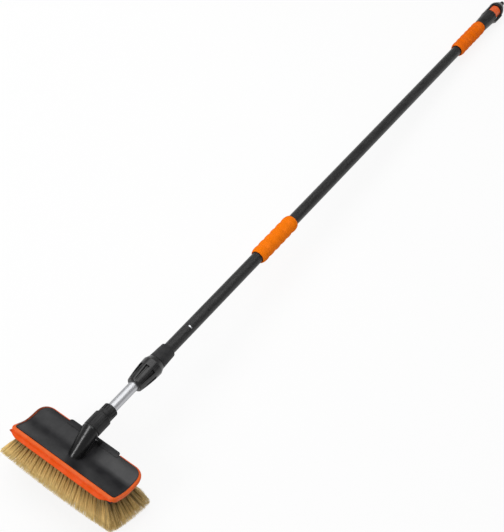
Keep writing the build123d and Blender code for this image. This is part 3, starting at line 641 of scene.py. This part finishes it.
def rounded_block(size, middle, corners):
    """Block in the head's frame with its front and back upright corners rounded."""
    clear_selection()
    bpy.ops.mesh.primitive_cube_add(size=1, location=(0, 0, 0))
    block = bpy.context.object
    edit()
    bpy.ops.transform.resize(value=size)
    bpy.ops.transform.translate(value=middle)
    leave()
    for side, radius in zip((-1, 1), corners):
        weights = block.data.attributes.get("bevel_weight_edge")
        weights = weights or block.data.attributes.new("bevel_weight_edge", "FLOAT", "EDGE")
        for edge in block.data.edges:
            ends = [block.data.vertices[number].co for number in edge.vertices]
            upright = abs(ends[0].z - ends[1].z) > size[2] / 2
            corner = min(abs(end.x) for end in ends) > size[0] / 2 - TOUCH
            chosen = upright and corner and (ends[0].y - middle[1]) * side > size[1] / 2 - TOUCH
            weights.data[edge.index].value = 1.0 if chosen else 0.0
        apply_modifier(block, "BEVEL", width=radius, segments=10, limit_method="WEIGHT")
    return block


def spun(name, profile, steps):
    """Body of revolution round the pole's line, spun from a closed profile of (station, radius)."""
    clear_selection()
    bpy.ops.mesh.primitive_plane_add(size=0.001, location=(0, 0, 0))
    piece = bpy.context.object
    piece.name = name
    edit()
    bpy.ops.mesh.select_mode(type="VERT")
    bpy.ops.mesh.merge(type="CENTER")
    place = Vector((profile[0][1], profile[0][0], 0))
    bpy.ops.transform.translate(value=place)
    for station, radius in profile[1:]:
        target = Vector((radius, station, 0))
        bpy.ops.mesh.extrude_region_move(TRANSFORM_OT_translate={"value": target - place})
        place = target
    bpy.ops.mesh.select_all(action="SELECT")
    bpy.ops.mesh.spin(steps=steps, angle=2 * pi, center=(0, 0, 0), axis=(0, 1, 0))
    leave()
    tidy_mesh(piece)
    return piece


class BRUSH_OT_shell(bpy.types.Operator):
    """Give the shell, its block, gasket and screws their finishes"""

    bl_idname = "brush.shell"
    bl_label = "Shell"

    def execute(self, context):
        colours = context.scene.brush_colours
        dress(
            head_shell=shell_finish(colours.shell, colours.boss),
            bristle_block=moulded("Block plastic", lighter(colours.shell, -0.3), rough=0.5),
            block_gasket=rubber("Seal rubber", lighter(colours.nuts, 0.01)),
            block_screws=polished("Screw steel", paint(178, 176, 172), rough=0.3),
        )
        return {"FINISHED"}


class BRUSH_OT_bead(bpy.types.Operator):
    """Make the soft bead round the shell, and the shell's edge inside it"""

    bl_idname = "brush.bead"
    bl_label = "Bead"

    def inwards(self, points, sizes):
        """Distance of points from the head's outline, seen from above."""
        corner = np.where(points[:, 1] < sizes.depth / 2, sizes.front_corner, sizes.back_corner)
        beyond_x = np.abs(points[:, 0]) - sizes.length / 2 + corner
        beyond_y = np.abs(points[:, 1] - sizes.depth / 2) - sizes.depth / 2 + corner
        outside = np.hypot(np.maximum(beyond_x, 0), np.maximum(beyond_y, 0))
        return corner - outside - np.minimum(np.maximum(beyond_x, beyond_y), 0)

    def round_off(self, bead, sizes):
        """Round the bead's top down to its outer edge, and keep painted shade for its left end."""
        points = moved(points_of(bead), HEAD.inverted())
        rows = np.linspace(0, sizes.depth, SECTIONS)
        near = [np.abs(points[:, 1] - row) < rows[1] for row in rows]
        top = np.interp(points[:, 1], rows, [points[row, 2].max() for row in near])
        bottom = np.interp(points[:, 1], rows, [points[row, 2].min() for row in near])
        share = np.clip(1 - self.inwards(points, sizes) / sizes.bead_width, 0, 1)
        fall = sizes.bead_sink + sizes.bead_fall * (1 - np.sqrt(1 - share**2))
        points[:, 2] -= fall * (points[:, 2] - bottom) / (top - bottom)
        set_points(bead, moved(points, HEAD))
        # Painted shade on the bead's left end, away from its front, for its material to darken.
        end = np.clip((-points[:, 0] - sizes.length / 2) / sizes.back_corner + 1, 0, 1)
        back = np.clip(points[:, 1] / sizes.front_corner - 1, 0, 1)
        keep(bead, "painted_shade", end * back)

    def execute(self, context):
        sizes, colours = context.scene.brush_trim, context.scene.brush_colours
        inset = sizes.bead_width
        plan = rounded_block(
            (sizes.length - 2 * inset, sizes.depth - 2 * inset, sizes.depth),
            (0, sizes.depth / 2, 0),
            (sizes.front_corner - inset, sizes.back_corner - inset),
        )
        carry(plan, HEAD)
        tidy_mesh(plan)
        bead = soft_copy("soft_rim", "bead", BEAD_DETAIL, 4, plan)
        edge = soft_copy("soft_rim", "shell_edge", EDGE_DETAIL, 1, plan, "INTERSECT")
        bpy.data.objects.remove(plan)
        self.round_off(bead, sizes)
        material = rubber("Bead rubber", colours.bead, with_painted_shade=True)
        fit_out(bead, "head", material, "rim_rubber", "soft_rim")
        plastic = moulded("Shell edge plastic", colours.shell, rough=0.5, gloss=0.22)
        fit_out(edge, "head", plastic, "rim_rubber", "soft_rim")
        return {"FINISHED"}


class BRUSH_OT_lip(bpy.types.Operator):
    """Make the wiper lip in front of the bead"""

    bl_idname = "brush.lip"
    bl_label = "Wiper lip"

    def execute(self, context):
        sizes = context.scene.brush_trim
        lip = soft_copy("wiper_lip", "lip", LIP_DETAIL, 1)
        points = moved(points_of(lip), HEAD.inverted())
        end = sizes.length / 2 - sizes.lip_taper
        left = np.clip((-points[:, 0] - end) / (sizes.lip_taper - sizes.lip_gap), 0, 1)
        right = np.clip((points[:, 0] - end + sizes.lip_run) / sizes.lip_run, 0, 1)
        outer = np.clip(-points[:, 1] / sizes.lip_reach, 0, 1)
        points[:, 0] -= left * outer**2 * sizes.lip_gap + right * sizes.lip_short
        points[:, 1] *= 1 - sizes.lip_narrow * right**3
        near = np.clip(1 + (points[:, 1] + sizes.groove_start) / sizes.groove_width, 0, 1)
        upper = np.clip((points[:, 2] - sizes.groove_floor) / sizes.groove_fade, 0, 1)
        points[:, 2] -= sizes.groove_depth * near * upper
        set_points(lip, moved(points, HEAD))
        # Painted shade on the lip's left tip, strongest at its outer edge, for its material to
        # darken.
        keep(lip, "painted_shade", left * outer**0.5)
        material = rubber("Lip rubber", context.scene.brush_colours.lip, with_painted_shade=True)
        fit_out(lip, "head", material, "lip_rubber", "wiper_lip")
        return {"FINISHED"}


class BRUSH_OT_bristles(bpy.types.Operator):
    """Make the tufts of bristles and the slice that holds them"""

    bl_idname = "brush.bristles"
    bl_label = "Bristles"

    def choose_end(self, filament, side):
        """Select only the face at a filament's top, side 1, or at its root, side -1."""
        bpy.ops.mesh.select_all(action="DESELECT")
        leave()
        for face in filament.data.polygons:
            face.select = face.normal.z * side > 0.9
        bpy.ops.object.mode_set(mode="EDIT")

    def filament(self, sizes):
        """One three-sided filament of height 1, drawn thinner to its tip."""
        clear_selection()
        (height, narrowing), *others = FILAMENT_LENGTHS
        bpy.ops.mesh.primitive_cone_add(
            vertices=3,
            radius1=sizes.thickness / 2,
            radius2=sizes.thickness / 2 * narrowing,
            depth=height,
            end_fill_type="NGON",
            location=(0, 0, height / 2),
        )
        filament = bpy.context.object
        filament.name = "filament"
        bpy.ops.object.transform_apply(location=True)
        bpy.ops.object.mode_set(mode="EDIT")
        bpy.ops.mesh.select_mode(type="FACE")
        self.choose_end(filament, 1)
        for height, narrowing in others:
            bpy.ops.mesh.extrude_region_move(TRANSFORM_OT_translate={"value": (0, 0, height)})
            bpy.ops.transform.resize(value=(narrowing, narrowing, 1))
        self.choose_end(filament, -1)
        bpy.ops.mesh.delete(type="ONLY_FACE")
        leave()
        return filament

    def fanned(self, sizes, x, y):
        """Tip of a filament above its share of the field, which fans out towards the edges."""
        half_length = (sizes.columns - 1) / 2 * sizes.column_pitch
        half_depth = (sizes.rows - 1) / 2 * sizes.row_pitch
        along = x / (half_length + sizes.column_pitch / 2)
        across = y / (half_depth + sizes.row_pitch / 2)
        tuck = 1 - sizes.corner_tuck * (along * across) ** 2
        tip_x = along * (half_length + sizes.tip_width / 2 + sizes.end_fan * abs(along) * tuck)
        tip_y = across * (half_depth + sizes.tip_depth / 2 + sizes.side_fan * tuck)
        inwards = sizes.corner_round * (1.4 + across) * (along * across) ** 8
        tip_x += sizes.lean_along - np.sign(along) * inwards
        tip_y += sizes.lean_back - np.sign(across) * inwards
        return np.array((tip_x, tip_y))

    def strands(self, sizes, shape, x, y, chance):
        """Points and tone of the filaments of a tuft that parts a little from the next, with
        painted shade between tufts.
        """
        height = shape[:, 2]
        along = 2 * x / ((sizes.columns - 1) * sizes.column_pitch)
        middle = self.fanned(sizes, x, y)
        across = 2 * y / ((sizes.rows - 1) * sizes.row_pitch)
        edge = np.abs((along, across)) > 1 - TOUCH
        clump = sizes.clump + chance.uniform(-CLUMP_CHANCE, CLUMP_CHANCE)
        thicker = 1 + sizes.thickening * abs(along) ** 4
        first = chance.uniform(0, 1, 2)
        tuft_tone = chance.uniform(-TUFT_TONE, TUFT_TONE)
        # Depth and fade of the painted shade between tufts, darkest at the roots.
        depth = GAP_SHADE_DEPTH * (1 + END_GAP_SHADE * abs(along) ** 3)
        fade = GAP_SHADE_FADE - RIGHT_SHADE_FADE * max(along, 0) ** 2
        pitch = np.array((sizes.column_pitch, sizes.row_pitch))
        points, tones_and_shade = [], []
        for number in range(sizes.filaments):
            share = (first + number * TUFT_STEPS) % 1 * 2 - 1
            share = np.sign(share) * np.abs(share) ** TUFT_EDGE
            outer = np.abs(share).max()
            own = self.fanned(sizes, *(np.array((x, y)) + share * pitch / 2))
            tip = own + clump * (middle - own) * (1 - edge * np.abs(share))
            stray = chance.normal(0, TIP_STRAY, 2) * (1 - outer**6)
            start = share * sizes.root_width / 2
            spread = tip - middle + stray - start
            top = sizes.tip_level + abs(chance.normal(0, TIP_UNEVEN))
            lean = (middle - (x, y)) * height[:, None] ** chance.uniform(*LEAN_CHANCE)
            strand = np.empty_like(shape)
            strand[:, :2] = shape[:, :2] * thicker + (x, y) + start + lean
            strand[:, :2] += spread * height[:, None] ** 1.1
            strand[:, 1] += sizes.middle
            strand[:, 2] = sizes.root_level + height * (top - sizes.root_level)
            points.append(strand)
            tone = 0.5 + tuft_tone + chance.uniform(-FILAMENT_TONE, FILAMENT_TONE)
            # Painted shade: filaments at a tuft's edge are darkened towards their roots.
            tones_and_shade.append(tone - depth * outer**2 * (1 - height) ** fade)
        return np.concatenate(points), np.concatenate(tones_and_shade)

    def joined(self, pieces):
        """Join objects into the first of them."""
        clear_selection()
        for piece in pieces:
            piece.select_set(True)
        bpy.context.view_layer.objects.active = pieces[0]
        bpy.ops.object.join()
        return bpy.context.object

    def field(self, sizes, name, columns, tuft, shape, fibre, chance):
        """Tufts of some columns as one piece."""
        tufts = [
            self.strands(
                sizes,
                shape,
                (column - (sizes.columns - 1) / 2) * sizes.column_pitch,
                (row - (sizes.rows - 1) / 2) * sizes.row_pitch,
                chance,
            )
            for column in columns
            for row in range(sizes.rows)
        ]
        pieces = [duplicate(tuft) for _ in tufts]
        for piece, (points, tones_and_shade) in zip(pieces, tufts):
            set_points(piece, points)
        field = self.joined(pieces)
        field.name = name
        points = points_of(field)
        reach = (sizes.columns - 1) / 2 * sizes.column_pitch + sizes.tip_width / 2 + sizes.end_fan
        points[:, 0] = np.clip(points[:, 0], sizes.lean_along - reach, sizes.lean_along + reach)
        points = moved(points, HEAD)
        points[:, 2] = np.maximum(points[:, 2], chance.uniform(*FLOOR_CHANCE, len(points)))
        set_points(field, points)
        tones_and_shade = np.concatenate([tone for _, tone in tufts])
        keep(field, "grade", np.tile(shape[:, 2], len(tones_and_shade) // len(shape)))
        # The tone attribute carries each filament's tone and the painted shade between tufts.
        keep(field, "tone", tones_and_shade)
        pick(field)
        bpy.ops.object.shade_smooth()
        fit_out(field, "head", fibre, "bristle_fibre", "bristles")

    def holes(self, sizes):
        """Pegs through the slice where the screws and the water jets stand."""
        rows = (-SCREW_ROW, SCREW_ROW)
        places = [(x * SCREW_REACH, y, SCREW_HOLE) for y in rows for x in (-1, 0, 1)]
        step = JET_COLUMNS * sizes.column_pitch
        for side in (-1, 1):
            for number in range(-JETS_ASIDE, JETS_ASIDE + 1):
                places.append((number * step, side * sizes.row_pitch / 2, JET_HOLE))
        pegs = []
        for x, y, radius in places:
            clear_selection()
            bpy.ops.mesh.primitive_cylinder_add(
                vertices=24,
                radius=radius,
                depth=4 * SLICE_THICKNESS,
                location=(x, y + sizes.middle, SLICE_TOP),
            )
            bpy.ops.object.transform_apply(location=True)
            pegs.append(bpy.context.object)
        return self.joined(pegs)

    def backing(self, sizes):
        """Slice of backing that the tufts are set in."""
        pegs = self.holes(sizes)
        backing = rounded_block(
            (SLICE_LENGTH, SLICE_DEPTH, SLICE_THICKNESS),
            (0, sizes.middle, SLICE_TOP - SLICE_THICKNESS / 2),
            (SLICE_FRONT, SLICE_CORNER),
        )
        backing.name = "bristle_backing"
        apply_modifier(backing, "BOOLEAN", object=pegs, operation="DIFFERENCE", solver="EXACT")
        bpy.data.objects.remove(pegs)
        carry(backing, HEAD)
        tidy_mesh(backing)
        smooth_shade(backing)
        colour = lighter(bpy.context.scene.brush_colours.shell, -0.2)
        plate = moulded("Backing plastic", colour, rough=0.5)
        fit_out(backing, "head", plate, "bristle_fibre", "bristles")

    def execute(self, context):
        sizes, colours = context.scene.brush_bristles, context.scene.brush_colours
        chance = np.random.default_rng(7)
        fibre = fibrous("Bristle fibre", colours.bristle_root, colours.bristle_tip)
        filament = self.filament(sizes)
        shape = points_of(filament)
        tuft = self.joined([duplicate(filament) for _ in range(sizes.filaments)])
        third = sizes.columns // 3 + 1
        for name, columns in (
            ("bristles_left", range(third)),
            ("bristles_middle", range(third, sizes.columns - third)),
            ("bristles_right", range(sizes.columns - third, sizes.columns)),
        ):
            self.field(sizes, name, columns, tuft, shape, fibre, chance)
        bpy.data.objects.remove(filament)
        bpy.data.objects.remove(tuft)
        self.backing(sizes)
        return {"FINISHED"}


class BRUSH_OT_neck(bpy.types.Operator):
    """Give the neck's nut and seals, the inner tube and its bush their finishes"""

    bl_idname = "brush.neck"
    bl_label = "Neck and inner tube"

    def execute(self, context):
        colours = context.scene.brush_colours
        seals = rubber("Ring rubber", lighter(colours.nuts, 0.01))
        dress(
            coupling_nut=scuffed("Neck nut plastic", colours.nuts, rough=0.42),
            neck_collet=moulded("Collet plastic", paint(214, 212, 204), rough=0.45),
            neck_ring=seals,
            piston_rings=seals,
            inner_tube=brushed("Bare aluminium", colours.bare_tube),
            guide_bush=moulded("Bush plastic", paint(208, 206, 198), rough=0.42),
        )
        return {"FINISHED"}


class BRUSH_OT_handle(bpy.types.Operator):
    """Give the clamp, the outer tube and the rivet their finishes"""

    bl_idname = "brush.handle"
    bl_label = "Clamp and outer tube"

    def execute(self, context):
        colours = context.scene.brush_colours
        dress(
            clamp_nut=scuffed("Clamp nut plastic", colours.nuts, rough=0.22, gloss=0.5),
            clamp_collet=moulded("Clamp collet plastic", paint(206, 204, 196), rough=0.4),
            clamp_sleeve=scuffed("Sleeve plastic", colours.sleeve, rough=0.55, gloss=0.25),
            outer_tube=coated("Coated tube", colours.coated_tube),
            stop_rivet=polished("Rivet steel", paint(208, 210, 212), rough=0.2),
        )
        return {"FINISHED"}


class BRUSH_OT_grips(bpy.types.Operator):
    """Make the two foam grips"""

    bl_idname = "brush.grips"
    bl_label = "Foam grips"

    def profile(self, sizes, start):
        """Closed section of a grip as (station, radius), from the near end's face outwards."""
        end = start + sizes.length
        turns = [radians(angle) for angle in (0, 22.5, 45, 67.5)]
        bend = sizes.end_round
        face = sizes.valley - bend
        near = [(start + bend - bend * cos(turn), face + bend * sin(turn)) for turn in turns]
        far = [(end - bend + bend * cos(turn), face + bend * sin(turn)) for turn in reversed(turns)]
        steps = WAVE_STEPS * sizes.waves
        crown = []
        for number in range(steps + 1):
            wave = abs(sin(pi * sizes.waves * number / steps)) ** WAVE_ROUND
            station = start + bend + (sizes.length - 2 * bend) * number / steps
            crown.append((station, sizes.valley + (sizes.crest - sizes.valley) * wave))
        inner = sizes.bore
        bore = [(end, (face + inner) / 2), (end, inner), (start + sizes.recess_depth, inner)]
        recess = [(start + sizes.recess_depth, sizes.recess_radius), (start, sizes.recess_radius)]
        return [*near, *crown, *far, *bore, *recess, near[0]]

    def grip(self, name, start, material, slot, node):
        """One grip, spun, made a little uneven and put on the tube."""
        sizes = bpy.context.scene.brush_grips
        piece = spun(name, self.profile(sizes, start), GRIP_STEPS)
        points = points_of(piece)
        radius = np.hypot(points[:, 0], points[:, 2])
        outer = radius > sizes.valley - sizes.end_round / 2
        turn = np.arctan2(points[:, 2], points[:, 0])
        station = points[:, 1]
        waves = [np.sin(turns * turn + twist * station + at) for turns, twist, at in DENT_WAVES]
        mean = sum(waves) / len(waves)
        push = np.where(outer, sizes.dents * (mean - 1) / 2, 0) / radius
        points[:, 0] *= 1 + push
        points[:, 2] *= 1 + push
        set_points(piece, moved(points, POLE))
        tidy_mesh(piece)
        smooth_shade(piece, 50)
        fit_out(piece, "handle", material, slot, node)

    def execute(self, context):
        sizes, colours = context.scene.brush_grips, context.scene.brush_colours
        bright = foamed("Bright foam", colours.middle_grip)
        deep = foamed("Deep foam", colours.upper_grip)
        self.grip("grip_middle", sizes.middle_start, bright, "bright_foam", "middle_grip")
        self.grip("grip_upper", sizes.upper_start, deep, "deep_foam", "upper_grip")
        return {"FINISHED"}


class BRUSH_OT_valve(bpy.types.Operator):
    """Give the water valve and the hose nipple their finishes"""

    bl_idname = "brush.valve"
    bl_label = "Water valve"

    def execute(self, context):
        colours = context.scene.brush_colours
        black = scuffed("Valve plastic", colours.nuts, rough=0.3, gloss=0.26)
        seals = rubber("Valve ring rubber", lighter(colours.nuts, 0.01))
        dress(
            valve_body=black,
            valve_flange=black,
            valve_ring=moulded("Valve ring plastic", colours.valve_ring, rough=0.32),
            valve_seat=polished("Seat ceramic", paint(232, 230, 224), rough=0.25, metallic=0.0),
            valve_spool=moulded("Spool plastic", paint(212, 210, 202), rough=0.4),
            drive_pin=polished("Pin brass", paint(196, 160, 84), rough=0.25),
            hose_nipple=moulded("Nipple plastic", lighter(colours.nuts, 0.02), rough=0.38),
            spool_rings=seals,
            nipple_ring=seals,
        )
        return {"FINISHED"}


class BRUSH_OT_stage(bpy.types.Operator):
    """Set the floor, the lamps, the sky and the camera"""

    bl_idname = "brush.stage"
    bl_label = "Stage"

    def floor(self):
        """White floor that keeps the shadow of the brush."""
        clear_selection()
        bpy.ops.mesh.primitive_plane_add(size=FLOOR_SIZE, location=(0, 0, 0))
        floor = bpy.context.object
        floor.name = "floor"
        recipe = Recipe("Floor paper")
        flecks = recipe.vary(recipe.noise(size=0.4, detail=2.0))
        recipe.shade(
            Base_Color=recipe.mix(flecks, *PAPER),
            Roughness=0.9,
            Specular_IOR_Level=0.0,
        )
        paper = recipe.shader.outputs[0]
        path = recipe.add("LightPath").outputs
        seen = recipe.sum(path["Is Camera Ray"], path["Is Glossy Ray"], "MAXIMUM")
        seen = recipe.sum(seen, path["Is Transmission Ray"], "MAXIMUM")
        glow = recipe.add("Emission", {"Color": (1, 1, 1), "Strength": 1.0}).outputs[0]
        pale = recipe.add("MixShader", {0: FLOOR_GLOW, 1: paper, 2: glow}).outputs[0]
        chosen = recipe.add("MixShader", {0: seen, 1: paper, 2: pale}).outputs[0]
        recipe.feed(recipe.nodes["Material Output"].inputs[0], chosen)
        floor.data.materials.append(recipe.owner)

    def sky(self, stage):
        """Even light from all round, seen as white and mirrored with a darker top."""
        recipe = Recipe("Studio sky", "worlds", "Background")
        generated = recipe.coordinates["Generated"]
        height = recipe.add("SeparateXYZ", {0: generated}).outputs["Z"]
        path = recipe.add("LightPath").outputs
        seen = recipe.sum(path["Is Camera Ray"], path["Is Transmission Ray"], "MAXIMUM")
        mirrored = recipe.spread(height, high=HORIZON, start=1.0, end=stage.ceiling)
        even = recipe.spread(path["Is Glossy Ray"], start=stage.sky, end=mirrored)
        level = recipe.spread(seen, start=even)
        bpy.context.scene.world = recipe.shade(Color=(1, 1, 1), Strength=level)

    def lamp(self, name, place, target, size, power):
        """Oblong soft lamp turned to a place."""
        light = bpy.data.lights.new(name, "AREA")
        light.shape = "RECTANGLE"
        light.size, light.size_y = size
        light.energy = power
        lamp = bpy.data.objects.new(name, light)
        lamp.location = place
        lamp.rotation_euler = (Vector(target) - Vector(place)).to_track_quat("-Z", "Y").to_euler()
        bpy.context.scene.collection.objects.link(lamp)

    def camera(self, stage):
        """Camera at the viewing angle of the picture."""
        data = bpy.data.cameras.new("camera")
        data.lens = stage.lens
        camera = bpy.data.objects.new("camera", data)
        turn = Euler(stage.camera_turn, "XYZ").to_matrix().to_4x4()
        camera.matrix_world = POLE @ Matrix.Translation(stage.camera_place) @ turn
        bpy.context.scene.collection.objects.link(camera)
        bpy.context.scene.camera = camera

    def execute(self, context):
        stage = context.scene.brush_stage
        self.floor()
        self.sky(stage)
        self.lamp("key", *KEY_LAMP, stage.key_power)
        self.lamp("front", *FRONT_LAMP, stage.front_power)
        self.camera(stage)
        context.scene.view_settings.view_transform = "Standard"
        return {"FINISHED"}


class BRUSH_PT_panel(bpy.types.Panel):
    """Sizes, colours and steps of the wash brush"""

    bl_idname = "BRUSH_PT_panel"
    bl_label = "Wash Brush"
    bl_space_type = "VIEW_3D"
    bl_region_type = "UI"
    bl_category = "Wash Brush"

    def draw(self, context):
        layout = self.layout
        for name, group in GROUPS.items():
            box = layout.box()
            box.label(text=group.__doc__)
            for field in group.__annotations__:
                box.prop(getattr(context.scene, name), field)
        for operator in OPERATORS:
            layout.operator(operator.bl_idname)


GROUPS = {
    "brush_bristles": BristleSizes,
    "brush_trim": TrimSizes,
    "brush_grips": GripSizes,
    "brush_colours": BrushColours,
    "brush_stage": StageSizes,
}
OPERATORS = (
    BRUSH_OT_stage,
    BRUSH_OT_shell,
    BRUSH_OT_bead,
    BRUSH_OT_lip,
    BRUSH_OT_bristles,
    BRUSH_OT_neck,
    BRUSH_OT_handle,
    BRUSH_OT_grips,
    BRUSH_OT_valve,
)
CLASSES = (*GROUPS.values(), *OPERATORS, BRUSH_PT_panel)


def register():
    for item in CLASSES:
        bpy.utils.register_class(item)
    for name, group in GROUPS.items():
        setattr(bpy.types.Scene, name, bpy.props.PointerProperty(type=group))


def unregister():
    for name in GROUPS:
        delattr(bpy.types.Scene, name)
    for item in reversed(CLASSES):
        bpy.utils.unregister_class(item)


def main():
    """Register the classes and make every piece in turn."""
    register()
    bpy.ops.brush.stage()
    bpy.ops.brush.shell()
    bpy.ops.brush.bead()
    bpy.ops.brush.lip()
    bpy.ops.brush.bristles()
    bpy.ops.brush.neck()
    bpy.ops.brush.handle()
    bpy.ops.brush.grips()
    bpy.ops.brush.valve()
    clear_selection()


if __name__ == "__main__":
    main()
